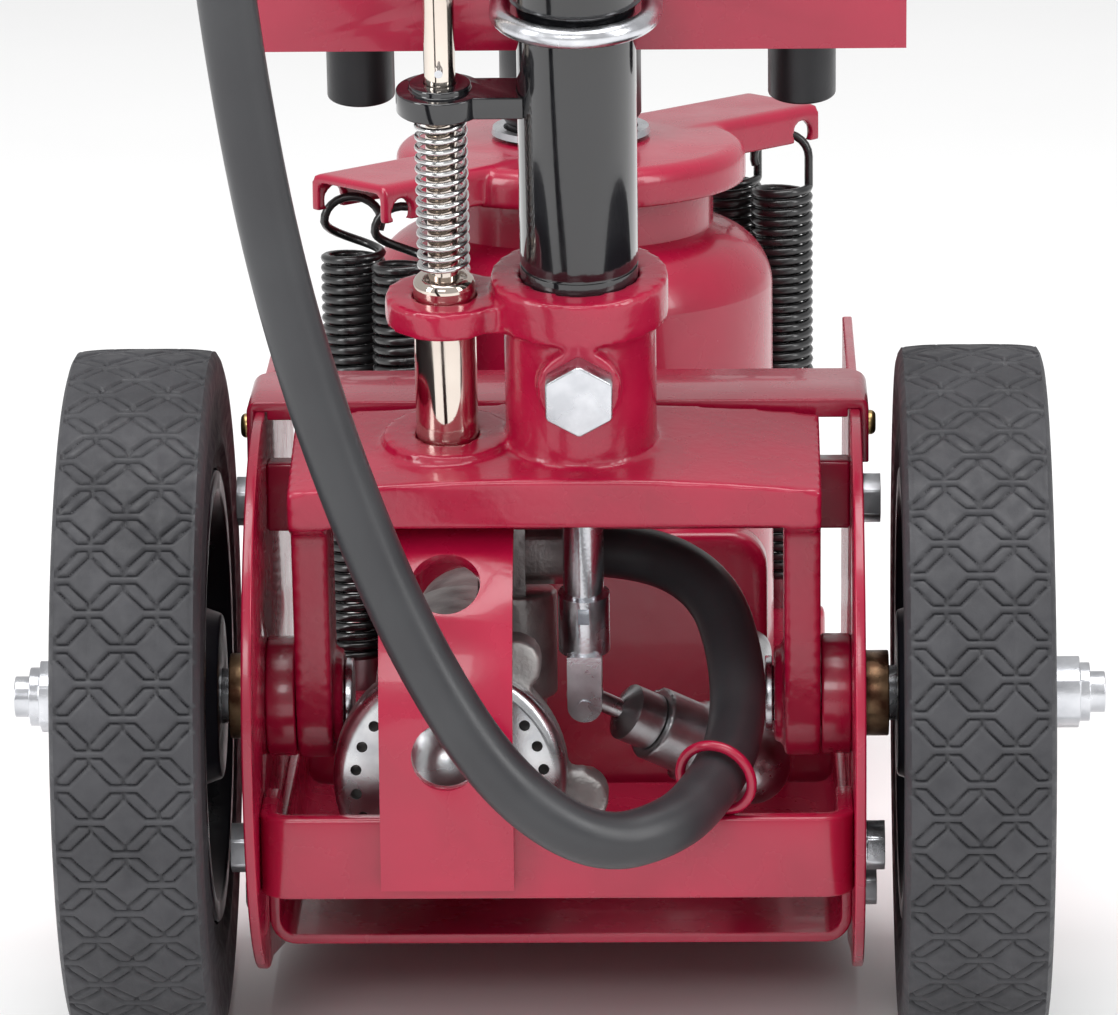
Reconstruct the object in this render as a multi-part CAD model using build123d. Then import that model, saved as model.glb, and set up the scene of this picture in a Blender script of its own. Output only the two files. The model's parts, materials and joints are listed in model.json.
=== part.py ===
from build123d import *
import math
import os

# Air-over-hydraulic truck jack. Millimetres, +Z up, +Y ahead of the operator, +X to the right.
# The origin is on the floor, on the axis of the lifting ram.

# ---- driving dimensions: running gear ------------------------------------------------------
AXLE_Y = -250.0           # axle, behind the ram
AXLE_Z = 101.6
TYRE_R = 101.5
WHEEL_IN = 98.3           # inner face of the wheel, from the middle plane
WHEEL_OUT = 141.0
RIM_R = 66.0
AXLE_R = 8.0
THREAD_R = 6.0
RUN = 0.05                # radial clearance of a running fit

# ---- driving dimensions: frame --------------------------------------------------------------
PLATE_OUT = 88.0          # outer face of a side plate
SHEET = 3.0
PLATE_IN = PLATE_OUT - SHEET
PLATE_R = 81.0            # rounded rear end of a side plate
PLATE_CZ = 103.0
COVER_Z = PLATE_CZ + PLATE_R
BOSS_IN = 76.3
BOSS_R = 17.5
BAR_Y = -60.0             # rear face of the crossbar, from the axle
BAR_T = 6.0
BAR_Z0 = 57.0
BAR_Z1 = 81.0
STRAP_X = -31.0
STRAP_W = 38.0
STRAP_R = 65.0
STRAP_T = 5.0
STRAP_HOLE_R = 9.85
TIE_Y = 12.0

# ---- driving dimensions: handle, measured along it (h) from the axle ------------------------
LEAN = 11.5               # degrees towards the operator
LEG_IN = 65.5
LEG_OUT = 76.0
LEG_R = 18.0
PLATE_H = 67.0
PLATE_TOP = 78.5
CROWN = 82.5
FRONT_D = 30.0
BACK_D = 24.5
SOCKET_X = 7.5
SOCKET_R = 21.75
SOCKET_TOP = 134.2
TUBE_R = 16.85
SLEEVE_R = 19.0
SLEEVE_H = 218.0
HANDLE_TOP = 905.0
LOCK_X = STRAP_X
PLUNGER_R = 8.95
LOCK_ROD_R = 4.45
SPRING_H0 = 134.0
SPRING_H1 = 183.6
TRAY_H = 194.0
TRAY_D0 = 19.5            # near wall of the tray, beyond the handle axis
TRAY_D1 = 64.5
TRAY_HALF = 92.6
TRAY_DEEP = 36.0
TRAY_T = 2.5
ADAPTER_GAP = 63.3
ADAPTER_Y = 42.0

# ---- driving dimensions: jack ---------------------------------------------------------------
TANK_R = 64.4
TANK_T = 3.0
BASE_TOP = 52.0
SHOULDER_Z = 181.0
NECK_R = 45.5
TANK_TOP = 206.0
CAP_R = 56.0
CAP_Z0 = 206.3
CAP_Z1 = 221.5
RAM_R = 38.0
NECK_SCREW_R = 20.5
HEAD_R = 22.7
HEAD_Z0 = 225.0
HEAD_Z1 = 262.0
EAR_TURN = 45.2           # the ears' line, turned from X about the ram
EAR_TIP = 97.0
EAR_HALF = 17.0
EAR_TOP = 219.5
EAR_DEEP = 12.0
SPRING_AT = 84.5          # distance of each spring pair from the ram
SPRING_APART = 23.4
RETURN_R = 10.35
RETURN_WIRE = 2.8
RETURN_Z0 = 60.0
RETURN_Z1 = 194.5

# ---- driving dimensions: air motor and release ----------------------------------------------
MOTOR_X = -31.0
MOTOR_Z = 85.0
COVER_R = 33.8
RELEASE_X = 7.5
RELEASE_R = 5.9
JOINT_GAP = 6.0           # half the gap between the ears of the universal joint
VALVE_DIR = Vector(0.80, 0.38, -0.46).normalized()
HOSE_R = 8.1

AXLE = Pos(0, AXLE_Y, AXLE_Z)
TILT = AXLE * Rot(LEAN, 0, 0)
nodes = {}


def rod(radius, start, end):
    """A cylinder from one point to another."""
    a = Vector(*start)
    b = Vector(*end)
    plane = Plane(origin=a, z_dir=b - a)
    return extrude(plane * Circle(radius), (b - a).length)


def ring(outer, inner, start, end):
    """A straight tube from one point to another."""
    return rod(outer, start, end) - rod(inner, start, end)


def block(x0, x1, y0, y1, z0, z1):
    return Pos((x0 + x1) / 2, (y0 + y1) / 2, (z0 + z1) / 2) * Box(x1 - x0, y1 - y0, z1 - z0)


def hex_bar(across_flats, start, end):
    a = Vector(*start)
    b = Vector(*end)
    plane = Plane(origin=a, z_dir=b - a)
    head = extrude(plane * RegularPolygon(across_flats / math.sqrt(3), 6), (b - a).length)
    return head & rod(across_flats / 2 * 1.12, start, end)


def both_sides(shape):
    return [shape, mirror(shape, Plane.YZ)]


def group(shapes):
    return Compound(children=list(shapes))


# ---- frame ----------------------------------------------------------------------------------
def side_plate():
    """Steel side plate: a round rear end about the axle, a top edge, and a slope to the base."""
    y_nose = AXLE_Y + 207
    low_rear = (AXLE_Y, PLATE_CZ - PLATE_R)
    with BuildSketch(Plane.YZ.offset(PLATE_IN)) as outline:
        with BuildLine():
            top = (AXLE_Y, COVER_Z)
            Line(low_rear, (AXLE_Y + 60, 8))
            Line((AXLE_Y + 60, 8), (y_nose, 8))
            Line((y_nose, 8), (y_nose, 48))
            Line((y_nose, 48), (AXLE_Y + 178, 70))
            Line((AXLE_Y + 178, 70), (AXLE_Y + 140, COVER_Z))
            Line((AXLE_Y + 140, COVER_Z), top)
            ThreePointArc(top, (AXLE_Y - PLATE_R, PLATE_CZ), low_rear)
        make_face()
    plate = extrude(outline.sketch, SHEET)
    plate -= rod(AXLE_R, (PLATE_IN - 1, AXLE_Y, AXLE_Z), (PLATE_OUT + 1, AXLE_Y, AXLE_Z))
    return plate


plate_right = side_plate()
nodes["side_plate_right"] = plate_right
nodes["side_plate_left"] = mirror(plate_right, Plane.YZ)


def plate_boss():
    centre = (AXLE_Y, AXLE_Z)
    boss = ring(BOSS_R, AXLE_R, (BOSS_IN, *centre), (PLATE_IN, *centre))
    return fillet(boss.edges().filter_by(GeomType.CIRCLE).group_by(Axis.X)[0][-1:], 2.0)


nodes["plate_bosses"] = group(both_sides(plate_boss()))


def crossbar():
    """Flat bar across the rear, its ends turned forward along the plates."""
    y0 = AXLE_Y + BAR_Y
    bar = block(-PLATE_IN, PLATE_IN, y0, y0 + 34, BAR_Z0, BAR_Z1)
    bar = fillet(bar.edges().filter_by(Axis.Z).group_by(Axis.Y)[0], 9.0)
    inside = block(-PLATE_IN + 5, PLATE_IN - 5, y0 + BAR_T, y0 + 40, BAR_Z0 - 1, BAR_Z1 + 1)
    inside = fillet(inside.edges().filter_by(Axis.Z).group_by(Axis.Y)[0], 4.0)
    return bar - inside


nodes["crossbar"] = crossbar()


def lock_strap():
    """Strap bent about the axle, with the holes that the lock plunger drops into."""
    x0 = STRAP_X - STRAP_W / 2
    foot_z = 61.0
    band = rod(STRAP_R, (x0, AXLE_Y, AXLE_Z), (x0 + STRAP_W, AXLE_Y, AXLE_Z))
    band -= rod(STRAP_R - STRAP_T, (x0 - 1, AXLE_Y, AXLE_Z), (x0 + STRAP_W + 1, AXLE_Y, AXLE_Z))
    upper_rear = block(x0, x0 + STRAP_W, AXLE_Y - 70, AXLE_Y + TIE_Y, AXLE_Z, AXLE_Z + 70)
    band &= upper_rear
    face_y = AXLE_Y - STRAP_R
    band += block(x0, x0 + STRAP_W, face_y, face_y + STRAP_T, foot_z, AXLE_Z)
    for angle in (LEAN, 45.8, 91.0):
        reach = 80.0
        out = (STRAP_X, AXLE_Y - reach * math.sin(math.radians(angle)),
               AXLE_Z + reach * math.cos(math.radians(angle)))
        band -= rod(STRAP_HOLE_R, (STRAP_X, AXLE_Y, AXLE_Z), out)
    return band


nodes["lock_strap"] = lock_strap()
nodes["top_tie"] = block(-PLATE_IN, PLATE_IN, AXLE_Y + TIE_Y, AXLE_Y + TIE_Y + 10, 148, 168)


def bottom_pan():
    """Sheet trough between the plates, under the air motor."""
    y0 = AXLE_Y - 14
    y1 = AXLE_Y + 150
    outer = block(-PLATE_IN, PLATE_IN, y0, y1, 30, 56)
    outer = fillet(outer.edges().filter_by(Axis.Y).group_by(Axis.Z)[0], 8.0)
    inner = block(-PLATE_IN + SHEET, PLATE_IN - SHEET, y0 - 1, y1 + 1, 30 + SHEET, 60)
    inner = fillet(inner.edges().filter_by(Axis.Y).group_by(Axis.Z)[0], 5.0)
    return outer - inner


nodes["bottom_pan"] = bottom_pan()


def top_cover():
    """Sheet over the front of the plates, folded down outside them and at its rear edge."""
    y0 = AXLE_Y + 11
    y1 = AXLE_Y + 53
    side = PLATE_OUT + 2.5
    body = block(-side, side, y0, y1, COVER_Z - 16, COVER_Z + SHEET)
    body = fillet(body.edges().filter_by(Axis.Y).group_by(Axis.Z)[-1], 3.0)
    body -= block(-PLATE_OUT, PLATE_OUT, y0 + 1.6, y1 + 1, COVER_Z - 20, COVER_Z)
    body -= block(-PLATE_OUT, PLATE_OUT, y0 - 1, y0 + 2, COVER_Z - 20, COVER_Z - 2.5)
    body -= block(PLATE_IN - 0.5, PLATE_OUT, y0 - 1, y0 + 2, COVER_Z - 20, COVER_Z)
    body -= block(-PLATE_OUT, 0.5 - PLATE_IN, y0 - 1, y0 + 2, COVER_Z - 20, COVER_Z)
    for s in (-1, 1):
        corner = Pos(s * (side + 2), y1 + 4, COVER_Z) * Rot(0, 0, 45) * Box(17, 17, 60)
        body -= corner
    return body


nodes["top_cover"] = top_cover()


def bolt_head(y, z, size, length):
    """Hexagon head outside a plate, its shank in the plate, its end flush inside."""
    x = PLATE_OUT
    return hex_bar(size, (x, y, z), (x + length, y, z)) + rod(size * 0.55, (x, y, z), (x + 1, y, z))


rivet_y = AXLE_Y + 20
rivet_z = COVER_Z - 6
rivet_x = PLATE_OUT + 2.5
rivet = rod(3.6, (rivet_x, rivet_y, rivet_z), (rivet_x + 2.2, rivet_y, rivet_z))
rivet = fillet(rivet.edges().group_by(Axis.X)[-1], 1.6)
nodes["cover_rivets"] = group(both_sides(rivet))
upper_bolts = both_sides(bolt_head(AXLE_Y + 17, 156, 13, 6))
lower_bolts = both_sides(bolt_head(AXLE_Y - 40, 67, 13, 6))
nodes["plate_bolts"] = group(upper_bolts + lower_bolts)
nodes["pan_bolts"] = group(both_sides(bolt_head(AXLE_Y, 43, 10, 4.5)))


def stub_axle():
    y = AXLE_Y
    z = AXLE_Z
    axle = rod(AXLE_R, (60, y, z), (WHEEL_OUT + 0.3, y, z))
    axle += rod(THREAD_R, (WHEEL_OUT, y, z), (159, y, z))
    axle += rod(11, (60, y, z), (62.2, y, z))
    return axle


right_axle = stub_axle()
nodes["stub_axle_right"] = right_axle
nodes["stub_axle_left"] = mirror(right_axle, Plane.YZ)
spacer = ring(12.5, AXLE_R, (PLATE_OUT, AXLE_Y, AXLE_Z), (96.0, AXLE_Y, AXLE_Z))
nodes["axle_spacers"] = group(both_sides(spacer))


def axle_nut():
    y = AXLE_Y
    z = AXLE_Z
    nut = hex_bar(19, (143.6, y, z), (151.5, y, z)) + rod(8.6, (151.5, y, z), (154.5, y, z))
    nut += rod(12, (WHEEL_OUT + 0.3, y, z), (143.6, y, z))
    return nut - rod(THREAD_R, (WHEEL_OUT, y, z), (160, y, z)) - rod(AXLE_R, (140, y, z), (141.3, y, z))


nodes["axle_nuts"] = group(both_sides(axle_nut()))


# ---- wheels ---------------------------------------------------------------------------------
def revolve_about_axle(points, rounding=0.0, rounded=()):
    """Turn a closed outline of (x, radius) points about the axle."""
    outline = Polyline(*[(x, AXLE_Y, AXLE_Z + r) for x, r in points], close=True)
    face = make_face(outline)
    if rounding:
        corners = [v for v in face.vertices() if round(v.Z - AXLE_Z, 1) in rounded]
        face = fillet(corners, rounding)
    return revolve(face, Axis((0, AXLE_Y, AXLE_Z), (1, 0, 0)))


def tyre():
    out = [(WHEEL_IN + 0.2, RIM_R), (WHEEL_OUT, RIM_R), (WHEEL_OUT, TYRE_R - 6), (WHEEL_OUT - 3, TYRE_R)]
    return revolve_about_axle(out + [(WHEEL_IN + 3.2, TYRE_R), (WHEEL_IN + 0.2, TYRE_R - 6)])


def rim():
    mid = (WHEEL_IN + WHEEL_OUT) / 2
    out = [(WHEEL_IN + 1, RIM_R), (WHEEL_IN + 1, RIM_R - 6), (mid - 9, RIM_R - 9), (mid - 5, 30)]
    out += [(WHEEL_IN, 24), (WHEEL_IN, AXLE_R + RUN), (WHEEL_OUT, AXLE_R + RUN), (WHEEL_OUT, 20)]
    out += [(mid + 1, 32), (mid - 2, RIM_R - 9), (WHEEL_OUT - 1, RIM_R - 6), (WHEEL_OUT - 1, RIM_R)]
    return revolve_about_axle(out)


right_tyre = tyre()
right_rim = rim()
nodes["tyre_right"] = right_tyre
nodes["tyre_left"] = mirror(right_tyre, Plane.YZ)
nodes["rim_right"] = right_rim
nodes["rim_left"] = mirror(right_rim, Plane.YZ)


# ---- jack body ------------------------------------------------------------------------------
def turned(points):
    """Turn a closed outline of (radius, z) points about the ram axis."""
    return revolve(make_face(Polyline(*[(r, 0, z) for r, z in points], close=True)), Axis.Z)


def base_block():
    base = block(-75, 75, -95, 95, 0, BASE_TOP)
    base = fillet(base.edges().filter_by(Axis.Z), 14)
    lugs = block(-PLATE_IN, PLATE_IN, -94, -44, 8, 47)
    tower = block(-50, 62, -95, -81, 10, 112)
    tower = fillet(tower.edges().filter_by(Axis.Y).group_by(Axis.Z)[-1], 12)
    base += lugs + tower
    base -= rod(8 + RUN, (MOTOR_X, -96, MOTOR_Z), (MOTOR_X, -80, MOTOR_Z))
    return base


nodes["base_block"] = base_block()


def oil_tank():
    """Drawn steel shell: straight wall, round shoulder, neck."""
    curve = 16.0
    with BuildSketch(Plane.XZ) as half:
        with BuildLine():
            Line((TANK_R - TANK_T, BASE_TOP), (TANK_R, BASE_TOP))
            Line((TANK_R, BASE_TOP), (TANK_R, SHOULDER_Z - curve / 2))
            RadiusArc((TANK_R, SHOULDER_Z - curve / 2), (NECK_R + 3, SHOULDER_Z + 10), -20)
            Line((NECK_R + 3, SHOULDER_Z + 10), (NECK_R, SHOULDER_Z + 11))
            Line((NECK_R, SHOULDER_Z + 11), (NECK_R, TANK_TOP))
            Line((NECK_R, TANK_TOP), (44.0, TANK_TOP))
            Line((44.0, TANK_TOP), (44.0, SHOULDER_Z + 6))
            RadiusArc((TANK_R - TANK_T, SHOULDER_Z - curve / 2), (44.0, SHOULDER_Z + 6), -18)
            Line((TANK_R - TANK_T, SHOULDER_Z - curve / 2), (TANK_R - TANK_T, BASE_TOP))
        make_face()
    return revolve(half.sketch, Axis.Z)


nodes["oil_tank"] = oil_tank()
wall_r = 44.0
nodes["cylinder"] = turned([(RAM_R + RUN, BASE_TOP), (wall_r, BASE_TOP), (wall_r, 205), (RAM_R + RUN, 205)])


def spring_places():
    """The four return springs: a pair under each ear."""
    turn = math.radians(EAR_TURN)
    out = Vector(-math.cos(turn), -math.sin(turn), 0)
    across = Vector(-out.Y, out.X, 0)
    places = []
    for side in (1, -1):
        for step in (1, -1):
            places.append(out * SPRING_AT * side + across * (SPRING_APART / 2) * step)
    return places


anchors = []
springs = []
for place in spring_places():
    at = (place.X, place.Y)
    anchors.append(rod(6.5, (*at, BASE_TOP), (*at, RETURN_Z0 + 8)))
    hollow = RETURN_R - RETURN_WIRE
    coil = ring(RETURN_R, hollow, (*at, RETURN_Z0), (*at, RETURN_Z1))
    springs.append(coil)
shelf = []
for s in (-1, 1):
    pad = block(-96, -20, -26, 26, BASE_TOP - 14, BASE_TOP)
    pad = Rot(0, 0, EAR_TURN) * fillet(pad.edges().filter_by(Axis.Z), 10)
    shelf.append(pad if s < 0 else mirror(mirror(pad, Plane.YZ), Plane.XZ))
nodes["base_block"] = nodes["base_block"] + shelf[0] + shelf[1]
nodes["spring_anchors"] = group(anchors)
nodes["return_springs_left"] = group(springs[:2])
nodes["return_springs_right"] = group(springs[2:])


# ---- ram and saddle -------------------------------------------------------------------------
bore_r = NECK_SCREW_R + RUN
nodes["ram"] = turned([(bore_r, 80), (RAM_R, 80), (RAM_R, CAP_Z0), (bore_r, CAP_Z0)])
nodes["ram"] += turned([(0, 64), (RAM_R, 64), (RAM_R, 80), (0, 80)])


def ram_cap():
    """Pressed cap with two channel ears that hold the return springs."""
    ear_bottom = EAR_TOP - EAR_DEEP
    arm = block(-EAR_TIP, EAR_TIP, -EAR_HALF, EAR_HALF, ear_bottom, EAR_TOP)
    arm = fillet(arm.edges().filter_by(Axis.X).group_by(Axis.Z)[-1], 3.0)
    for side in (1, -1):
        start, end = sorted((side * (CAP_R - 4), side * (EAR_TIP + 1)))
        arm -= block(start, end, -EAR_HALF + 3, EAR_HALF - 3, ear_bottom - 8, EAR_TOP - 3)
    for x in (-SPRING_AT - 5, SPRING_AT + 5):
        arm -= rod(4.2, (x, -EAR_HALF - 1, EAR_TOP - 9), (x, EAR_HALF + 1, EAR_TOP - 9))
    edge = turned([(0, CAP_Z0), (CAP_R, CAP_Z0), (CAP_R, CAP_Z1 - 3), (0, CAP_Z1)])
    edge = fillet(edge.edges().filter_by(GeomType.CIRCLE).group_by(Axis.Z)[-1], 5.0)
    cap = edge + Rot(0, 0, EAR_TURN) * arm
    return cap - rod(bore_r, (0, 0, CAP_Z0 - 9), (0, 0, CAP_Z1 + 9))


nodes["ram_cap"] = ram_cap()
nodes["wiper_ring"] = turned([(NECK_SCREW_R + 0.4, CAP_Z1), (25.5, CAP_Z1), (25.0, CAP_Z1 + 2),
        (21.6, CAP_Z1 + 2)])
saddle = turned([(0, 110), (NECK_SCREW_R, 110), (NECK_SCREW_R, HEAD_Z0), (HEAD_R - 2, HEAD_Z0),
        (HEAD_R, HEAD_Z0 + 3),
                 (HEAD_R, HEAD_Z1 - 2), (HEAD_R - 2, HEAD_Z1), (0, HEAD_Z1)])
nodes["extension_saddle"] = saddle


# ---- air motor ------------------------------------------------------------------------------
def motor_casting():
    """Aluminium air motor body, from its flange to the pump tower."""
    y = AXLE_Y
    at = (MOTOR_X, MOTOR_Z)

    def along(radius, y0, y1):
        return rod(radius, (at[0], y0, at[1]), (at[0], y1, at[1]))

    body = along(34.0, y - 28, y - 20) + along(26, y - 20, y + 96) + along(17, y + 90, -95)
    for dx, dz in ((38, -8), (19, 32), (-6, 37)):
        body += rod(7.5, (at[0] + dx, y - 27, at[1] + dz), (at[0] + dx, y - 14, at[1] + dz))
        body += block(at[0] + min(0, dx), at[0] + max(0, dx) + 1, y - 26, y - 20,
                      at[1] + min(0, dz), at[1] + max(0, dz) + 1)
    body += rod(12, (-13, y + 26, 95), (-13, y + 26, 127))
    body -= along(22, y - 29, y + 84)
    body -= along(8 + RUN, y + 80, -94)
    return body


nodes["motor_casting"] = motor_casting()


def muffler_cover():
    """Pressed cover of the exhaust, with a ring of holes and a domed middle."""
    y = AXLE_Y - 28
    face_y = y - 7
    cover = rod(COVER_R, (MOTOR_X, face_y, MOTOR_Z), (MOTOR_X, y, MOTOR_Z))
    cover = fillet(cover.edges().group_by(Axis.Y)[0], 4.0)
    cover -= rod(COVER_R - 1.2, (MOTOR_X, face_y + 1.2, MOTOR_Z), (MOTOR_X, y + 1, MOTOR_Z))
    count = 24
    for step in range(count):
        turn = math.radians(360 / count * (step + 0.5))
        x = MOTOR_X + 27.3 * math.cos(turn)
        z = MOTOR_Z + 27.3 * math.sin(turn)
        cover -= rod(1.6, (x, face_y - 1, z), (x, face_y + 3, z))
    dome_r = 26.0
    rise = 6.0
    dome = Pos(MOTOR_X, face_y + dome_r - rise, MOTOR_Z) * Sphere(dome_r)
    dome &= block(-90, 30, face_y - 20, face_y + 0.6, 40, 130)
    return cover + dome


nodes["muffler_cover"] = muffler_cover()
screws = []
for turn in (215, 335, 95):
    x = MOTOR_X + 30.5 * math.cos(math.radians(turn))
    z = MOTOR_Z + 30.5 * math.sin(math.radians(turn))
    screws.append(rod(2.6, (x, AXLE_Y - 37.0, z), (x, AXLE_Y - 35.1, z)))
nodes["cover_screws"] = group(screws)
piston_y = AXLE_Y - 4
piston = rod(22 - RUN, (MOTOR_X, piston_y, MOTOR_Z), (MOTOR_X, piston_y + 12, MOTOR_Z))
nodes["air_piston"] = piston + rod(8, (MOTOR_X, piston_y + 12, MOTOR_Z), (MOTOR_X, -86, MOTOR_Z))


# ---- release valve --------------------------------------------------------------------------
joint_centre = Vector(RELEASE_X, AXLE_Y, AXLE_Z)


def down(reach):
    """A point on the valve axis, this far from the middle of the universal joint."""
    return tuple(joint_centre + VALVE_DIR * reach)


def release_valve():
    """Valve needle: a ball in the universal joint, a collar, and the screwed stem."""
    ball_r = 5.4
    neck_r = 3.0
    meet = math.sqrt(ball_r ** 2 - neck_r ** 2)
    corners = [(neck_r, meet), (neck_r, 12), (8.5, 15), (8.5, 23.6), (4, 23.6), (4, 42), (0, 42),
            (0, -ball_r)]
    outline = Polyline(*corners)
    outline += ThreePointArc((0, -ball_r), (ball_r, 0), (neck_r, meet))
    needle = revolve(make_face(outline), Axis.Y)
    upright = Plane(origin=joint_centre, z_dir=VALVE_DIR).location * Rot(90, 0, 0)
    return upright * needle


nodes["release_valve"] = release_valve()
housing = rod(11, down(24), down(58)) + hex_bar(24, down(38), down(48)) + Pos(*down(60)) * Sphere(12)
housing += rod(7.5, down(60), (down(60)[0], -95, down(60)[2]))
nodes["valve_housing"] = housing - rod(4 + RUN, down(23), down(44))

# ---- hose, its fitting and its guide ring -----------------------------------------------------
# Points of the hose's route, from the axle, in the order it runs from the fitting to the valve.
HOSE = [(2, 26, 139), (24, 26, 139), (45, 12, 131), (52, -11, 115), (52, -36, 99), (45, -61, 91),
        (34, -84, 85),
        (12, -98, 83), (-14, -101, 102), (-37, -102, 140), (-57, -104, 190), (-73, -109, 246),
                (-83, -117, 306),
        (-89, -127, 368), (-90, -139, 430), (-87, -151, 492), (-79, -163, 554), (-68, -172, 612),
        (-55, -176, 663), (-41, -174.5, 715), (-31, -176.3, 768), (-30, -187.6, 823.4)]
hose_points = [Vector(x, y + AXLE_Y, z) for x, y, z in HOSE]


def hose_radii(points):
    """The largest tangent arc that each corner's two runs allow."""
    radii = []
    for before, here, after in zip(points, points[1:], points[2:]):
        run = min((here - before).length, (after - here).length)
        turn = (here - before).get_angle(after - here)
        radii.append(0.45 * run / math.tan(math.radians(turn / 2)))
    return radii


radii = hose_radii(hose_points)
hose_path = FilletPolyline(*hose_points, radius=radii)
hose_section = Plane(origin=hose_path @ 0, z_dir=hose_path % 0) * Circle(HOSE_R)
nodes["air_hose"] = sweep(hose_section, path=hose_path)
print("hose radii", [round(r) for r in radii], "length", round(hose_path.length))
expected = math.pi * HOSE_R ** 2 * hose_path.length
print("hose volume / section x length", round(nodes["air_hose"].volume / expected, 4))
start = hose_points[0]
fitting = hex_bar(19, (start.X - 12, start.Y, start.Z), (start.X - 1, start.Y, start.Z))
fitting += rod(9.2, (start.X - 1.5, start.Y, start.Z), (start.X, start.Y, start.Z))
fitting += rod(8, (start.X - 16, start.Y, start.Z), (start.X - 12, start.Y, start.Z))
fitting += block(-24, -10, start.Y - 9, start.Y + 9, 127, 148)
nodes["hose_fitting"] = fitting
ring_at = Vector(45.6, AXLE_Y - 58, 92.1)
loop_plane = Plane(origin=ring_at, z_dir=Vector(32, 91, 27))
loop = loop_plane * Torus(10.7, 1.5)
loop += rod(1.8, (ring_at.X, ring_at.Y, BAR_Z1), (ring_at.X, ring_at.Y, ring_at.Z - 10.7))
nodes["hose_guide"] = loop - nodes["crossbar"]

# ---- handle: modelled upright (x, y = away from the operator, z = h), then leaned -------------
lower_nodes = {}


def yoke():
    """Cast yoke: two legs on the axles, a crowned plate, a socket and the lock's guides."""
    with BuildSketch(Plane.YZ.offset(LEG_IN)) as leg:
        Circle(LEG_R)
        with BuildLine():
            Polyline((-LEG_R, 0), (-LEG_R, 60), (-FRONT_D, PLATE_H), (-FRONT_D, PLATE_H + 4),
                    (BACK_D, PLATE_H + 4),
                     (BACK_D, PLATE_H), (LEG_R, 60), (LEG_R, 0), (-LEG_R, 0))
        make_face()
    right_leg = extrude(leg.sketch, LEG_OUT - LEG_IN)
    right_leg += rod(14, (LEG_IN - 3, 0, 0), (LEG_IN + 1, 0, 0))
    right_leg -= rod(AXLE_R + RUN, (LEG_IN - 4, 0, 0), (LEG_OUT + 1, 0, 0))
    with BuildSketch(Plane.XZ.offset(-BACK_D)) as top:
        with BuildLine():
            Polyline((LEG_OUT, PLATE_TOP), (LEG_OUT, PLATE_H), (-LEG_OUT, PLATE_H), (-LEG_OUT, PLATE_TOP))
            ThreePointArc((-LEG_OUT, PLATE_TOP), (0, CROWN), (LEG_OUT, PLATE_TOP))
        make_face()
    body = extrude(top.sketch, FRONT_D + BACK_D)
    body += right_leg + mirror(right_leg, Plane.YZ)
    body += rod(SOCKET_R, (SOCKET_X, 0, 78), (SOCKET_X, 0, 128))
    body += rod(25.3, (SOCKET_X, 0, 121), (SOCKET_X, 0, SOCKET_TOP))
    body += rod(17, (LOCK_X, 0, 119.5), (LOCK_X, 0, 128))
    body += block(LOCK_X, SOCKET_X, -12, 12, 119.5, 128)
    body += rod(18.5, (LOCK_X, 0, 77), (LOCK_X, 0, 84.5))
    body += rod(12, (SOCKET_X, -25, 108), (SOCKET_X, -15, 108))
    body -= rod(PLUNGER_R + RUN, (LOCK_X, 0, 60), (LOCK_X, 0, 140))
    body -= rod(TUBE_R, (SOCKET_X, 0, 86), (SOCKET_X, 0, 140))
    body -= rod(RELEASE_R + RUN, (RELEASE_X, 0, 60), (RELEASE_X, 0, 90))
    body -= rod(6, (SOCKET_X, -30, 108), (SOCKET_X, 0, 108))
    return body


def handle_lower():
    tube = ring(TUBE_R, TUBE_R - 3, (SOCKET_X, 0, 86), (SOCKET_X, 0, 300))
    tube -= ring(TUBE_R + 1, TUBE_R - 0.5, (SOCKET_X, 0, 137), (SOCKET_X, 0, 138.2))
    return tube - rod(6, (SOCKET_X, -30, 108), (SOCKET_X, 0, 108))


def lock_bracket():
    """Plate welded to the tube, which the lock spring pushes against."""
    plate = rod(12.5, (LOCK_X, 0, 184), (LOCK_X, 0, 190.5)) + block(LOCK_X, SOCKET_X, -8, 8, 184, 190.5)
    plate += rod(8.75, (LOCK_X, 0, 190), (LOCK_X, 0, 192.3))
    plate -= rod(LOCK_ROD_R + RUN, (LOCK_X, 0, 180), (LOCK_X, 0, 195))
    return plate - rod(TUBE_R, (SOCKET_X, 0, 180), (SOCKET_X, 0, 195))


def tray():
    """Open sheet tray that keeps the two spare extension adapters."""
    x0 = SOCKET_X + 0.5 - TRAY_HALF
    x1 = SOCKET_X + 0.5 + TRAY_HALF
    box = block(x0, x1, TRAY_D0, TRAY_D1, TRAY_H, TRAY_H + TRAY_DEEP)
    box -= block(x0 + TRAY_T, x1 - TRAY_T, TRAY_D0 + TRAY_T, TRAY_D1 - TRAY_T, TRAY_H + TRAY_T, TRAY_H + 99)
    for s in (-1, 1):
        x = SOCKET_X + 0.5 + s * ADAPTER_GAP
        box -= rod(10.2, (x, ADAPTER_Y, TRAY_H - 1), (x, ADAPTER_Y, TRAY_H + 5))
        leg_x = SOCKET_X + s * 21.35
        box -= rod(3.0, (leg_x, TRAY_D0 - 1, 213.5), (leg_x, TRAY_D0 + 5, 213.5))
    return box


def u_bolt():
    h = 213.5
    r = 21.35
    bend = Pos(SOCKET_X, 0, h) * Torus(r, 3) & block(-60, 60, -60, 0, 200, 230)
    for s in (-1, 1):
        x = SOCKET_X + s * r
        bend += rod(3, (x, 0, h), (x, 32, h))
        bend += hex_bar(10, (x, TRAY_D0 + TRAY_T, h), (x, TRAY_D0 + TRAY_T + 5, h))
    return bend


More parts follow.
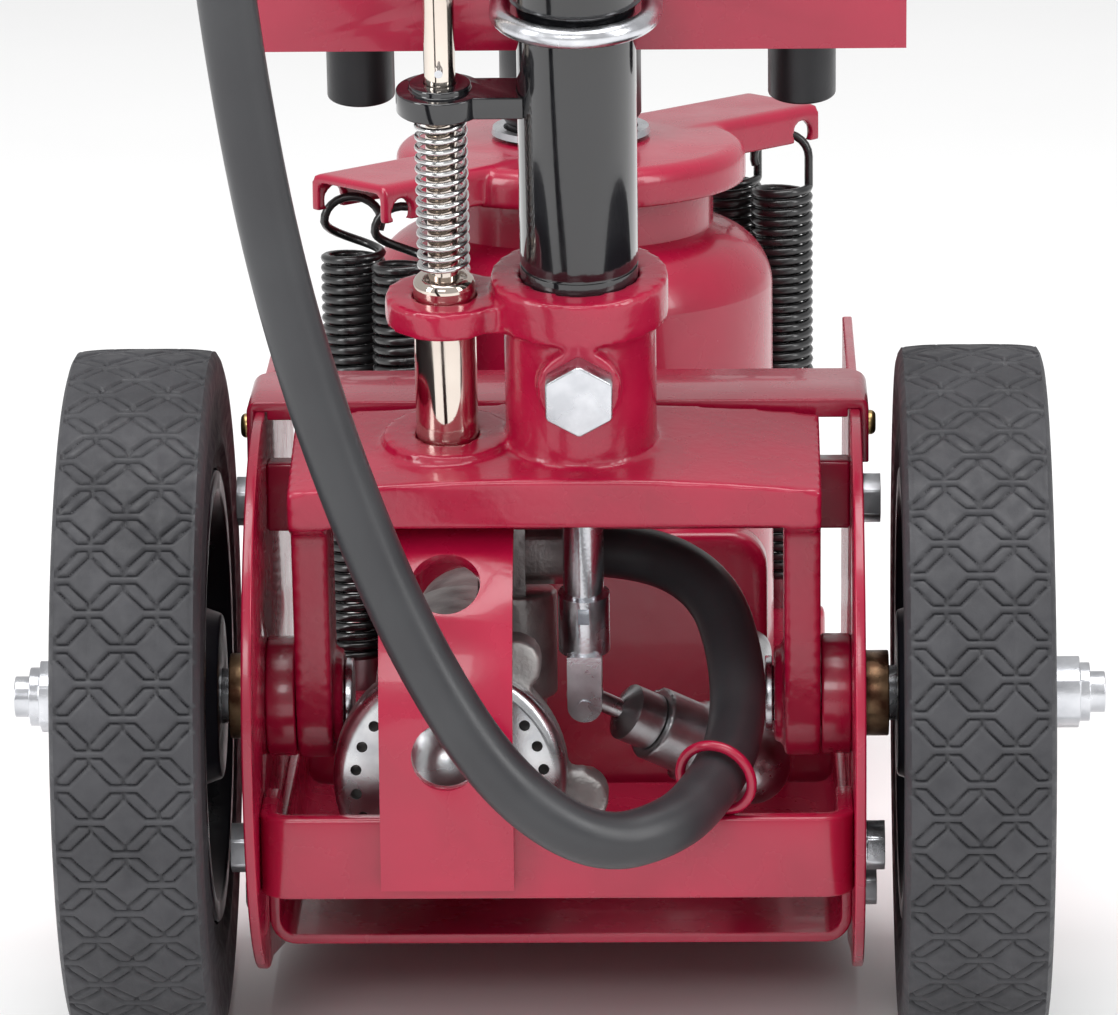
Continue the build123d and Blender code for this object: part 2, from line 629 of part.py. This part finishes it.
def adapter(side):
    x = SOCKET_X + 0.5 + side * ADAPTER_GAP
    base = TRAY_H + TRAY_T
    body = rod(9.75, (x, ADAPTER_Y, 171.6), (x, ADAPTER_Y, base + 1))
    body += rod(17, (x, ADAPTER_Y, base + 0.2), (x, ADAPTER_Y, base + 26))
    return chamfer(body.edges().group_by(Axis.Z)[-1], 1.5)


lower_nodes["yoke"] = yoke()
lower_nodes["handle_lower"] = handle_lower()
sleeve_top = HANDLE_TOP
lower_nodes["handle_upper"] = ring(SLEEVE_R, TUBE_R + RUN, (SOCKET_X, 0, SLEEVE_H),
        (SOCKET_X, 0, sleeve_top))
bolt = hex_bar(19, (SOCKET_X, -33, 108), (SOCKET_X, -25, 108)) + rod(6, (SOCKET_X, -25, 108),
        (SOCKET_X, -12, 108))
lower_nodes["socket_bolt"] = bolt
lower_nodes["lock_bracket"] = lock_bracket()
lower_nodes["adapter_tray"] = tray()
lower_nodes["u_bolt"] = u_bolt()
BAR_H = 870.0
BAR_D = SLEEVE_R + 12.5
grip_bar = ring(12.5, 10, (SOCKET_X - 165, -BAR_D, BAR_H), (SOCKET_X + 165, -BAR_D, BAR_H))
lower_nodes["grip_bar"] = grip_bar
grips = []
for s in (-1, 1):
    sleeve = ring(16.5, 12.5, (SOCKET_X + s * 60, -BAR_D, BAR_H), (SOCKET_X + s * 165, -BAR_D, BAR_H))
    sleeve += rod(16.5, (SOCKET_X + s * 165, -BAR_D, BAR_H), (SOCKET_X + s * 169, -BAR_D, BAR_H))
    grips.append(sleeve)
lower_nodes["hand_grips"] = group(grips)
VALVE_X = -30.0
VALVE_D = 40.0
LEVER_H = 822.0
valve_body = block(VALVE_X - 14, VALVE_X + 14, -VALVE_D - 14, -VALVE_D + 14, 757, 812)
valve_body = fillet(valve_body.edges().filter_by(Axis.Z), 4)
valve_body += block(VALVE_X, SOCKET_X, -VALVE_D + 8, -SLEEVE_R + 0.5, 770, 800)
valve_body -= rod(SLEEVE_R, (SOCKET_X, 0, 700), (SOCKET_X, 0, 850))
valve_body += block(VALVE_X - 7, VALVE_X + 7, -VALVE_D - 4, -VALVE_D + 4, 812, 816)
for x0 in (VALVE_X - 9.5, VALVE_X + 6.3):
    valve_body += block(x0, x0 + 3.2, -VALVE_D + 5, -VALVE_D + 14, 811, LEVER_H + 4)
pin = (-VALVE_D + 10, LEVER_H)
valve_body -= rod(2 + RUN, (VALVE_X - 12, *pin), (VALVE_X + 12, *pin))
lower_nodes["control_valve"] = valve_body
lower_nodes["hose_tail"] = hex_bar(19, (VALVE_X, -VALVE_D, 745.2), (VALVE_X, -VALVE_D, 757))
inlet_x = VALVE_X - 14
inlet = hex_bar(17, (inlet_x, -VALVE_D, 785), (inlet_x - 16, -VALVE_D, 785))
lower_nodes["air_inlet"] = inlet - rod(5.5, (inlet_x - 2, -VALVE_D, 785), (inlet_x - 17, -VALVE_D, 785))
lever = rod(4, (VALVE_X - 6, -VALVE_D + 10, LEVER_H), (VALVE_X + 6, -VALVE_D + 10, LEVER_H))
lever += rod(2, (VALVE_X - 9.2, -VALVE_D + 10, LEVER_H), (VALVE_X + 9.2, -VALVE_D + 10, LEVER_H))
lever += block(VALVE_X - 6, VALVE_X + 6, -VALVE_D - 34, -VALVE_D + 10, LEVER_H + 0.5, LEVER_H + 4)
lower_nodes["air_lever"] = lever
rod_top = 835.0
plunger = rod(PLUNGER_R, (LOCK_X, 0, 65.7), (LOCK_X, 0, 133.5))
plunger = fillet(plunger.edges().group_by(Axis.Z)[-1], 3)
lower_nodes["lock_plunger"] = plunger + rod(LOCK_ROD_R, (LOCK_X, 0, 133), (LOCK_X, 0, rod_top))
cotter = rod(1.2, (LOCK_X, -8, 197.8), (LOCK_X, 8, 197.8)) - rod(LOCK_ROD_R, (LOCK_X, 0, 190),
        (LOCK_X, 0, 200))
lower_nodes["lock_cotter"] = cotter
knob = Pos(LOCK_X, 0, rod_top + 12) * Sphere(13) - rod(LOCK_ROD_R, (LOCK_X, 0, 700), (LOCK_X, 0, rod_top))
lower_nodes["lock_knob"] = knob
spring_in = 6.0
lower_nodes["lock_spring"] = ring(7.65, spring_in, (LOCK_X, 0, SPRING_H0), (LOCK_X, 0, SPRING_H1))
release = rod(RELEASE_R, (RELEASE_X, 0, 33), (RELEASE_X, 0, 930))
hub = rod(7.5, (RELEASE_X, 0, 15), (RELEASE_X, 0, 33))
EAR_W = 5.0
ears = block(RELEASE_X - EAR_W, RELEASE_X + EAR_W, -8.6, 8.6, 0, 16)
ears += rod(EAR_W, (RELEASE_X, -8.6, 0), (RELEASE_X, 8.6, 0))
ears += rod(2.2, (RELEASE_X, -9.2, 0), (RELEASE_X, -8, 0))
hub -= block(RELEASE_X - 1.6, RELEASE_X + 1.6, -9, 0, 26, 31)
ears -= block(RELEASE_X - 9, RELEASE_X + 9, -JOINT_GAP, JOINT_GAP, -10, 14)
lower_nodes["release_rod"] = release + hub + ears
release_knob = rod(18, (RELEASE_X, 0, 930),
        (RELEASE_X, 0, 952)) - rod(RELEASE_R, (RELEASE_X, 0, 900), (RELEASE_X, 0, 930))
lower_nodes["release_knob"] = fillet(release_knob.edges().group_by(Axis.Z)[-1], 4)
lower_nodes["adapter_left"] = adapter(-1)
lower_nodes["adapter_right"] = adapter(1)
for name, shape in lower_nodes.items():
    nodes[name] = TILT * shape

os.makedirs("parts", exist_ok=True)
for name, shape in nodes.items():
    export_step(shape, f"parts/{name}.step")
print(len(nodes), "nodes")
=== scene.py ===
import json
import math

import bmesh
import bpy
import numpy as np
from mathutils import Matrix, Vector


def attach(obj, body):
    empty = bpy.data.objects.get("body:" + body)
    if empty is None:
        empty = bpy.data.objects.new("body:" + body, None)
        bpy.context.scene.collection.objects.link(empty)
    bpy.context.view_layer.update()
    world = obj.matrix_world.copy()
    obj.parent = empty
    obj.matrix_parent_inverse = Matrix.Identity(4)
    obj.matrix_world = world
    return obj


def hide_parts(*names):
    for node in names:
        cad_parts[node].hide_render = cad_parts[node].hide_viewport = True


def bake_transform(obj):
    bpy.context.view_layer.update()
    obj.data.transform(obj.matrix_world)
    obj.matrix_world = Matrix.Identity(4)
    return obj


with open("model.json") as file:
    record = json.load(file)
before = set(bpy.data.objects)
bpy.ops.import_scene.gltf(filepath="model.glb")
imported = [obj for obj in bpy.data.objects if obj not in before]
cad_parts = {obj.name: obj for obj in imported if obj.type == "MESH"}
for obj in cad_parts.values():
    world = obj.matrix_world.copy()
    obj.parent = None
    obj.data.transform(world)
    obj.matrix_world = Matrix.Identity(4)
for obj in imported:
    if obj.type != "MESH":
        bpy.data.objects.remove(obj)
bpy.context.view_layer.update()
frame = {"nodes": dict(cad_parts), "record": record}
MM = 0.001
SLOTS = {part["node"]: part["material_slot"] for part in frame["record"]["subparts"]}
BODIES = {node: body for body,
        nodes in frame["record"]["behaviour"]["bodies"].items() for node in nodes}
LEAN = math.radians(11.5)
AXLE_BACK = 250                      # mm from the ram's axis to the axle, toward the operator
AXLE = Vector((0, -0.250, 0.1016))
UPRIGHT = Matrix.Translation(AXLE) @ Matrix.Rotation(LEAN, 4, "X")   # handle frame to row frame


# ---- materials ------------------------------------------------------------------------------
def surface(name, color, second=None, rough=0.4, spread=0.08, metallic=0.0, coat=0.0, grain=60.0,
            bump=0.0, bump_grain=400.0, patches=18.0, sheen=0.0):
    """A shader whose colour, gloss and relief all vary with noise in the object's own space."""
    made = bpy.data.materials.new(name)
    made.use_nodes = True
    tree = made.node_tree
    shader = tree.nodes["Principled BSDF"]
    shader.inputs["Metallic"].default_value = metallic
    shader.inputs["Coat Weight"].default_value = coat
    shader.inputs["Coat Roughness"].default_value = 0.05
    shader.inputs["Sheen Weight"].default_value = sheen
    place = tree.nodes.new("ShaderNodeTexCoord")

    def noise(scale, detail=5.0):
        made_noise = tree.nodes.new("ShaderNodeTexNoise")
        made_noise.inputs["Scale"].default_value = scale
        made_noise.inputs["Detail"].default_value = detail
        tree.links.new(place.outputs["Object"], made_noise.inputs["Vector"])
        return made_noise.outputs["Fac"]

    ramp = tree.nodes.new("ShaderNodeValToRGB")
    ramp.color_ramp.elements[0].position = 0.35
    ramp.color_ramp.elements[1].position = 0.65
    ramp.color_ramp.elements[0].color = (*(second or [c * 0.8 for c in color]), 1)
    ramp.color_ramp.elements[1].color = (*color, 1)
    tree.links.new(noise(patches), ramp.inputs["Fac"])
    tree.links.new(ramp.outputs["Color"], shader.inputs["Base Color"])
    gloss = tree.nodes.new("ShaderNodeMapRange")
    gloss.inputs["From Min"].default_value = 0.3
    gloss.inputs["From Max"].default_value = 0.7
    gloss.inputs["To Min"].default_value = max(0.02, rough - spread)
    gloss.inputs["To Max"].default_value = rough + spread
    tree.links.new(noise(grain), gloss.inputs["Value"])
    tree.links.new(gloss.outputs["Result"], shader.inputs["Roughness"])
    if bump:
        relief = tree.nodes.new("ShaderNodeBump")
        relief.inputs["Strength"].default_value = 1.0
        relief.inputs["Distance"].default_value = bump * MM
        tree.links.new(noise(bump_grain, 3.0), relief.inputs["Height"])
        tree.links.new(relief.outputs["Normal"], shader.inputs["Normal"])
    return made


RED = (0.37, 0.004, 0.036)
RED_DEEP = (0.30, 0.003, 0.028)
LOOKS = {
    "red_enamel": surface("red_enamel_look", RED, RED_DEEP, 0.26, 0.06, coat=0.3, bump=0.05,
                          bump_grain=260, patches=25),
    "red_casting": surface("red_casting_look", RED, RED_DEEP, 0.28, 0.07, coat=0.3, bump=0.16,
                           bump_grain=330,
                           patches=30),
    "lever_red": surface("lever_red_look", RED, RED_DEEP, 0.25, 0.05, coat=0.4, bump=0.05),
    "black_enamel": surface("black_enamel_look", (0.008, 0.008, 0.010), (0.005, 0.005, 0.006),
                            0.12, 0.05, coat=0.7,
                            bump=0.03, bump_grain=300),
    "black_oxide": surface("black_oxide_look", (0.030, 0.030, 0.032), (0.018, 0.018, 0.020), 0.38,
                           0.08, metallic=0.6,
                           bump=0.04, bump_grain=900),
    "spring_black": surface("spring_black_look", (0.012, 0.012, 0.013), None, 0.28, 0.07,
                            coat=0.3, bump=0.03),
    "spring_zinc": surface("spring_zinc_look", (0.72, 0.72, 0.72), (0.58, 0.58, 0.58), 0.20, 0.06,
                           metallic=1.0),
    "zinc": surface("zinc_look", (0.68, 0.69, 0.72), (0.50, 0.51, 0.54), 0.27, 0.09, metallic=1.0,
                    bump=0.04,
                    bump_grain=900, patches=120),
    "nickel": surface("nickel_look", (0.74, 0.67, 0.60), (0.60, 0.52, 0.46), 0.10, 0.05,
                      metallic=1.0, bump=0.01),
    "steel": surface("steel_look", (0.52, 0.52, 0.53), (0.34, 0.34, 0.35), 0.32, 0.12,
                     metallic=1.0, bump=0.05,
                     bump_grain=700, patches=90),
    "aluminium_casting": surface("aluminium_casting_look", (0.46, 0.45, 0.44), (0.25, 0.24, 0.24),
                                 0.45, 0.12,
                                 metallic=0.9, bump=0.22, bump_grain=650, patches=70),
    "galvanised": surface("galvanised_look", (0.60, 0.61, 0.62), (0.46, 0.47, 0.49), 0.28, 0.08,
                          metallic=1.0,
                          bump=0.03, bump_grain=500, patches=140),
    "tyre_rubber": surface("tyre_rubber_look", (0.037, 0.037, 0.042), (0.025, 0.025, 0.029), 0.62,
                           0.14, bump=0.06,
                           bump_grain=1500, patches=45, grain=220),
    "rim_paint": surface("rim_paint_look", (0.020, 0.022, 0.030), (0.012, 0.013, 0.018), 0.35,
                         0.10, bump=0.05),
    "hose_rubber": surface("hose_rubber_look", (0.030, 0.031, 0.034), (0.022, 0.022, 0.025), 0.36,
                           0.07, bump=0.03,
                           bump_grain=1200, patches=30),
    "grip_rubber": surface("grip_rubber_look", (0.016, 0.016, 0.017), None, 0.60, 0.10, bump=0.08,
                           bump_grain=1200),
    "knob_plastic": surface("knob_plastic_look", (0.012, 0.012, 0.013), None, 0.22, 0.05,
                            coat=0.4, bump=0.02),
    "brass": surface("brass_look", (0.60, 0.42, 0.19), (0.42, 0.28, 0.12), 0.30, 0.08,
                     metallic=1.0, bump=0.03),
    "rusty_bush": surface("rusty_bush_look", (0.36, 0.22, 0.12), (0.10, 0.035, 0.015), 0.30, 0.12,
                          metallic=0.7,
                          bump=0.06, bump_grain=400, patches=130),
}


# ---- mesh helpers ---------------------------------------------------------------------------
def piece_from(name, points, faces, node=None, body=None, angle=35.0):
    """A mesh piece that stands for a CAD node, or rides on a body by itself."""
    data = bpy.data.meshes.new(name)
    data.from_pydata([tuple(p) for p in points], [], faces)
    data.validate()
    made = bpy.data.objects.new(name, data)
    bpy.context.scene.collection.objects.link(made)
    return dress(made, node, body, angle)


def dress(made, node=None, body=None, angle=35.0, look=None):
    """Gives a piece its material and body, and hides the CAD node it stands for."""
    for face in made.data.polygons:
        face.use_smooth = True
    made.data.set_sharp_from_angle(angle=math.radians(angle))
    slot = look or SLOTS[node]
    made.data.materials.clear()
    made.data.materials.append(LOOKS[slot])
    if node:
        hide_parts(node)
    if body is not None:
        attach(made, body)
    return made


def applied(made):
    """The piece with its modifiers worked into its mesh."""
    bpy.context.view_layer.update()
    final = bpy.data.meshes.new_from_object(made.evaluated_get(bpy.context.evaluated_depsgraph_get()))
    made.modifiers.clear()
    made.data = final
    return made


def clean_copy(node):
    """The CAD node's surface with its vertices joined and its flat faces whole."""
    work = bmesh.new()
    work.from_mesh(frame["nodes"][node].data)
    bmesh.ops.remove_doubles(work, verts=work.verts, dist=1e-6)
    bmesh.ops.dissolve_limit(work, angle_limit=math.radians(0.5), verts=work.verts,
            edges=work.edges)
    data = bpy.data.meshes.new(node + "_finished")
    work.to_mesh(data)
    work.free()
    made = bpy.data.objects.new(node + "_finished", data)
    bpy.context.scene.collection.objects.link(made)
    return made


def bevelled(node, width=0.8):
    """The CAD node with its sharp edges rounded off."""
    made = clean_copy(node)
    bevel = made.modifiers.new("edge", "BEVEL")
    bevel.width = width * MM
    bevel.segments = 3
    bevel.limit_method = "ANGLE"
    bevel.angle_limit = math.radians(40)
    applied(made)
    return dress(made, node, BODIES[node], angle=50)


def cast(node, voxel=1.0, rounds=6):
    """The CAD node as a casting: every edge and inner corner softened."""
    made = clean_copy(node)
    remesh = made.modifiers.new("voxels", "REMESH")
    remesh.mode = "VOXEL"
    remesh.voxel_size = voxel * MM
    smooth = made.modifiers.new("smooth", "SMOOTH")
    smooth.factor = 0.5
    smooth.iterations = rounds
    applied(made)
    return dress(made, node, BODIES[node], angle=180)


def frames_along(path):
    """Tangent, side and up vectors along a path, without twist."""
    count = len(path)
    tangents = []
    for i in range(count):
        before = path[max(i - 1, 0)]
        after = path[min(i + 1, count - 1)]
        tangents.append((after - before).normalized())
    side = tangents[0].orthogonal().normalized()
    result = []
    for tangent in tangents:
        side = (side - tangent * side.dot(tangent)).normalized()
        result.append((tangent, side, tangent.cross(side)))
    return result


def tube_mesh(path, radius, around=24):
    """Points and faces of a round tube with closed ends."""
    points = []
    for at, (_, side, up) in zip(path, frames_along(path)):
        for k in range(around):
            turn = 2 * math.pi * k / around
            points.append(at + side * radius * math.cos(turn) + up * radius * math.sin(turn))
    faces = []
    for i in range(len(path) - 1):
        for k in range(around):
            a = i * around + k
            b = i * around + (k + 1) % around
            faces.append((a, b, b + around, a + around))
    last = (len(path) - 1) * around
    faces.append(tuple(range(around - 1, -1, -1)))
    faces.append(tuple(last + k for k in range(around)))
    return points, faces


def lathe(name, outline, axis_point, axis, node, body, around=96, angle=35.0):
    """Turns (along, radius) points about an axis in the row frame."""
    axis = Vector(axis).normalized()
    side = axis.orthogonal().normalized()
    up = axis.cross(side)
    points = []
    for k in range(around):
        turn = 2 * math.pi * k / around
        out = side * math.cos(turn) + up * math.sin(turn)
        points += [Vector(axis_point) + axis * a + out * r for a, r in outline]
    count = len(outline)
    faces = []
    for k in range(around):
        for i in range(count):
            a = k * count + i
            b = k * count + (i + 1) % count
            c = (a + count) % len(points)
            d = (b + count) % len(points)
            faces.append((a, c, d, b))
    return piece_from(name, points, faces, node, body, angle)


# ---- camera ---------------------------------------------------------------------------------
CAMERA_AT = (0.0472, -2.3753, 0.668)
CAMERA_LENS = 242.6
CAMERA_PAN = 1.26
CAMERA_DOWN = 13.5
CAMERA_ROLL = -0.6
camera_data = bpy.data.cameras.new("camera")
camera_data.sensor_width = 36
camera_data.lens = CAMERA_LENS
camera_data.clip_end = 50
camera = bpy.data.objects.new("camera", camera_data)
bpy.context.scene.collection.objects.link(camera)
camera.matrix_world = (Matrix.Translation(CAMERA_AT)
                       @ Matrix.Rotation(math.radians(CAMERA_PAN), 4, "Z")
                       @ Matrix.Rotation(math.radians(90 - CAMERA_DOWN), 4, "X")
                       @ Matrix.Rotation(math.radians(CAMERA_ROLL), 4, "Z"))
bpy.context.scene.camera = camera

# ---- hose -----------------------------------------------------------------------------------
# The route's points from the axle in millimetres, from the motor's fitting to the control valve.
HOSE = [(2, 26, 139), (24, 26, 139), (45, 12, 131), (52, -11, 115), (52, -36, 99), (45, -61, 91),
        (34, -84, 85),
        (12, -98, 83), (-14, -101, 102), (-37, -102, 140), (-57, -104, 190), (-73, -109, 246),
                (-83, -117, 306),
        (-89, -127, 368), (-90, -139, 430), (-87, -151, 492), (-79, -163, 554), (-68, -172, 612),
        (-55, -176, 663), (-41, -174.5, 715), (-31, -176.3, 768), (-30, -187.6, 823.4)]
HOSE_R = 8.1 * MM


def smooth_line(points):
    """Points read from a NURBS curve that has these as its control points."""
    curve = bpy.data.curves.new("route", "CURVE")
    curve.dimensions = "3D"
    curve.resolution_u = 10
    spline = curve.splines.new("NURBS")
    spline.points.add(len(points) - 1)
    for at, point in zip(spline.points, points):
        at.co = (*point, 1)
    spline.order_u = 3
    spline.use_endpoint_u = True
    holder = bpy.data.objects.new("route", curve)
    line = bpy.data.meshes.new_from_object(holder)
    result = [v.co.copy() for v in line.vertices]
    bpy.data.objects.remove(holder)
    return result


hose_path = smooth_line([Vector((x, y - AXLE_BACK, z)) * MM for x, y, z in HOSE])
points, faces = tube_mesh(hose_path, HOSE_R, 40)
hose = piece_from("hose", points, faces, "air_hose", angle=60)
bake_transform(hose)

# ---- tyres ----------------------------------------------------------------------------------
TREAD_R = 101.5
REPEATS = 32
CELL = 19.0                               # width of one lattice cell across the tread
PITCH = 2 * math.pi * TREAD_R / REPEATS   # its length round the tread


def fold(value, period):
    """Distance to the nearest multiple of the period."""
    return np.abs((value + period / 2) % period - period / 2)


def tread_depth(across, along):
    """How far the tread lies below its outer surface: outlined bars between lattice nodes."""
    u = fold(across, CELL)
    v = fold(along, PITCH)
    bar = 1.75 - np.abs(u - v * CELL / PITCH) / math.sqrt(2)
    inside = np.minimum.reduce([bar, v - 1.1, PITCH / 2 - v - 1.1, u - 0.35, CELL / 2 - u - 0.35])
    groove = 1.25 * np.clip(1 - (np.abs(inside) / 0.55) ** 2, 0, 1)
    panel = 0.25 * np.clip(inside / 0.6, 0, 1)
    mould_line = 0.16 * np.clip(1 - np.minimum(u, CELL / 2 - u) / 0.35, 0, 1)
    edge = np.clip((19.6 - np.abs(across)) / 0.6, 0, 1)
    return np.maximum(np.maximum(groove, mould_line), panel) * edge


def tyre(side, node, body):
    """A solid tyre with its tread cut into the surface."""
    around = REPEATS * 34
    inner = 98.6
    outer = 140.9
    middle = (inner + outer) / 2
    half = (outer - inner) / 2
    tread = np.linspace(-half + 1.6, half - 1.6, 66)
    crown = [(x, TREAD_R - 1.1 * abs(x / half) ** 4) for x in tread]
    shoulder = [(half - 0.7, TREAD_R - 2.3), (half - 0.1, TREAD_R - 4.5), (half, TREAD_R - 9)]
    wall = shoulder + [(half - 0.9, 88), (half - 1.0, 80), (half - 0.2, 77), (half - 0.2, 74),
            (half - 1.4, 72),
                       (half - 1.6, 66.6)]
    outline = [(-x, r) for x, r in reversed(wall)] + crown + wall
    xs = np.array([p[0] for p in outline])
    rs = np.array([p[1] for p in outline])
    turns = np.arange(around) * 2 * math.pi / around
    grid_x, grid_t = np.meshgrid(xs, turns)
    depth = tread_depth(grid_x, grid_t * TREAD_R)
    depth[:, :len(wall)] = 0
    depth[:, -len(wall):] = 0
    radius = rs[None, :] - depth
    place = np.stack([(middle + grid_x) * side, radius * np.sin(grid_t), radius * np.cos(grid_t)],
            axis=-1)
    place = place.reshape(-1, 3) * MM + np.array(AXLE)
    count = len(outline)
    faces = []
    for k in range(around):
        here = k * count
        after = ((k + 1) % around) * count
        for i in range(count):
            j = (i + 1) % count
            quad = (here + i, here + j, after + j, after + i)
            faces.append(quad if side < 0 else quad[::-1])
    return piece_from(node + "_treaded", place.tolist(), faces, node, body, angle=60)


tyre(1, "tyre_right", "wheel_right")
tyre(-1, "tyre_left", "wheel_left")


# ---- springs --------------------------------------------------------------------------------
def helix(centre, radius, low, high, turns, steps=20):
    """Points of a coil that rises evenly from low to high."""
    count = int(turns * steps)
    points = []
    for i in range(count + 1):
        part = i / count
        turn = 2 * math.pi * turns * part
        points.append(Vector((centre[0] + radius * math.cos(turn),
                centre[1] + radius * math.sin(turn),
                              low + (high - low) * part)))
    return points


EAR_TURN = math.radians(45.2)
EAR_OUT = Vector((-math.cos(EAR_TURN), -math.sin(EAR_TURN), 0))
EAR_ACROSS = Vector((-EAR_OUT.y, EAR_OUT.x, 0))
RETURN_WIRE = 1.4
RETURN_MEAN = 10.35 - RETURN_WIRE
COIL_LOW = 61.5
COIL_HIGH = 193
COIL_TURNS = 41
HOOK_HEIGHT = 203.0                  # where the hook passes into the ear's flange
SPRING_AT = 84.5                     # distance of each pair from the ram
SPRING_APART = 11.7                  # half the distance between the two springs of a pair


def return_spring(out, across):
    """One extension spring: a coil, then an open hook through the ear above it."""
    centre = EAR_OUT * out + EAR_ACROSS * across
    points = helix(centre, RETURN_MEAN, COIL_LOW, COIL_HIGH, COIL_TURNS)
    toward = Vector((-math.copysign(1, out), 0, 0))
    start = points[-1]
    first = centre + toward * RETURN_MEAN
    angle0 = math.atan2(start.y - centre.y, start.x - centre.x)
    angle1 = math.atan2(first.y - centre.y, first.x - centre.x)
    gap = (angle1 - angle0) % (2 * math.pi)
    for i in range(1, 11):
        turn = angle0 + gap * i / 10
        points.append(Vector((centre.x + RETURN_MEAN * math.cos(turn),
                centre.y + RETURN_MEAN * math.sin(turn),
                              COIL_HIGH + (HOOK_HEIGHT - COIL_HIGH) * (i / 10) ** 2)))
    for i in range(1, 15):
        turn = math.radians(200) * i / 14
        points.append(centre + toward * RETURN_MEAN * math.cos(turn)
                      + Vector((0, 0, HOOK_HEIGHT + (RETURN_MEAN - 1) * math.sin(turn))))
    return tube_mesh([p * MM for p in points], RETURN_WIRE * MM, 10)


def spring_pair(node, out):
    """Both springs of one ear, in one mesh."""
    points = []
    faces = []
    for across in (-SPRING_APART, SPRING_APART):
        more_points, more_faces = return_spring(out, across)
        faces += [tuple(i + len(points) for i in face) for face in more_faces]
        points += more_points
    made = piece_from(node + "_coils", points, faces, node, angle=60)
    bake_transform(made)


spring_pair("return_springs_left", SPRING_AT)
spring_pair("return_springs_right", -SPRING_AT)


LOCK_AT = -31                        # the lock's line beside the handle
LOCK_LOW = 135
LOCK_HIGH = 182.6


def lock_spring():
    """The coil between the yoke's ear and the lock's bracket."""
    coil = helix((LOCK_AT, 0), 6.8, LOCK_LOW, LOCK_HIGH, 14.5, 28)
    path = [UPRIGHT @ (p * MM) for p in coil]
    points, faces = tube_mesh(path, 0.85 * MM, 12)
    made = piece_from("lock_spring_coil", points, faces, "lock_spring", angle=60)
    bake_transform(made)


lock_spring()

# ---- castings, bent bars and pressed parts ----------------------------------------------------
cast("yoke", 1.0, 7)
cast("ram_cap", 0.9, 6)
cast("motor_casting", 1.1, 5)
cast("valve_housing", 0.8, 4)
cast("base_block", 1.8, 4)
for node, width in {"crossbar": 1.2, "lock_strap": 0.7, "top_cover": 0.5, "side_plate_left": 0.6,
                    "side_plate_right": 0.6, "bottom_pan": 0.6, "adapter_tray": 0.6,
                    "lock_bracket": 1.0,
                    "socket_bolt": 0.6, "plate_bolts": 0.5, "pan_bolts": 0.4, "axle_nuts": 0.6,
                    "adapter_left": 0.8,
                    "adapter_right": 0.8, "handle_lower": 0.4, "handle_upper": 0.5,
                    "control_valve": 0.8,
                    "air_lever": 0.6, "plate_bosses": 0.8, "rim_left": 0.8, "rim_right": 0.8,
                    "top_tie": 0.8,
                    "hose_fitting": 0.6, "hose_tail": 0.6, "air_inlet": 0.5, "axle_spacers": 0.5,
                    "release_knob": 0.8, "extension_saddle": 0.5, "stub_axle_left": 0.4,
                    "stub_axle_right": 0.4}.items():
    bevelled(node, width)


# ---- hand grips -----------------------------------------------------------------------------
BAR_AT = (7.5, -31.5, 870)           # middle of the grip bar, in the handle's upright frame


def grip(side):
    """Moulded rubber grip with rings, a flange near the middle and a round end."""
    outline = [(60, 12.6), (60, 18.0), (62, 19.5), (65, 19.5), (67, 16.0)]
    ridges = 22
    first = 70.0
    step = 4.0
    for i in range(ridges):
        at = first + step * i
        outline += [(at, 15.2), (at + 1.0, 16.4), (at + 2.4, 16.4), (at + 3.2, 15.2)]
    outline += [(162, 16.0), (167, 15.0), (169, 11.0), (169, 0.4), (165.5, 0.4), (165.5, 12.6)]
    start = UPRIGHT @ (Vector(BAR_AT) * MM)
    return [(a * MM, r * MM) for a, r in outline], start, (side, 0, 0)


left_outline, grip_start, left_way = grip(-1)
right_outline, _, right_way = grip(1)
lathe("grip_left", left_outline, grip_start, left_way, "hand_grips", "handle", 64)
lathe("grip_right", right_outline, grip_start, right_way, "hand_grips", "handle", 64)

# ---- materials on the CAD nodes that stay ------------------------------------------------------
for name, shown in frame["nodes"].items():
    shown.data.materials.clear()
    shown.data.materials.append(LOOKS[SLOTS[name]])


# ---- floor, world and lights ------------------------------------------------------------------
def floor():
    """A wide pale floor, for the pictures only."""
    data = bpy.data.meshes.new("floor")
    data.from_pydata([(-30, -30, 0), (30, -30, 0), (30, 30, 0), (-30, 30, 0)], [], [(0, 1, 2, 3)])
    made = bpy.data.objects.new("floor", data)
    bpy.context.scene.collection.objects.link(made)
    data.materials.append(surface("floor_look", (0.86, 0.86, 0.86), (0.84, 0.84, 0.84), 0.9, 0.02,
                                  patches=2))


def softbox(name, at, toward, size, power):
    """A rectangular lamp that faces a point."""
    data = bpy.data.lights.new(name, "AREA")
    data.shape = "RECTANGLE"
    data.size, data.size_y = size
    data.energy = power
    lamp = bpy.data.objects.new(name, data)
    lamp.location = at
    lamp.rotation_euler = (Vector(toward) - Vector(at)).to_track_quat("-Z", "Y").to_euler()
    bpy.context.scene.collection.objects.link(lamp)


floor()
world = bpy.data.worlds.new("studio")
bpy.context.scene.world = world
world.use_nodes = True
world.node_tree.nodes["Background"].inputs["Color"].default_value = (1, 1, 1, 1)
world.node_tree.nodes["Background"].inputs["Strength"].default_value = 0.62
softbox("top", (0.0, -0.6, 2.6), (0, -0.1, 0.2), (2.2, 1.6), 55)
softbox("left", (-2.0, -1.6, 1.2), (0, -0.2, 0.2), (0.7, 1.8), 30)
softbox("right", (2.0, -1.4, 1.3), (0, -0.2, 0.2), (0.6, 1.8), 22)
softbox("front", (-0.4, -3.0, 1.6), (0, -0.2, 0.25), (1.2, 0.8), 18)
bpy.context.scene.view_settings.view_transform = "Standard"
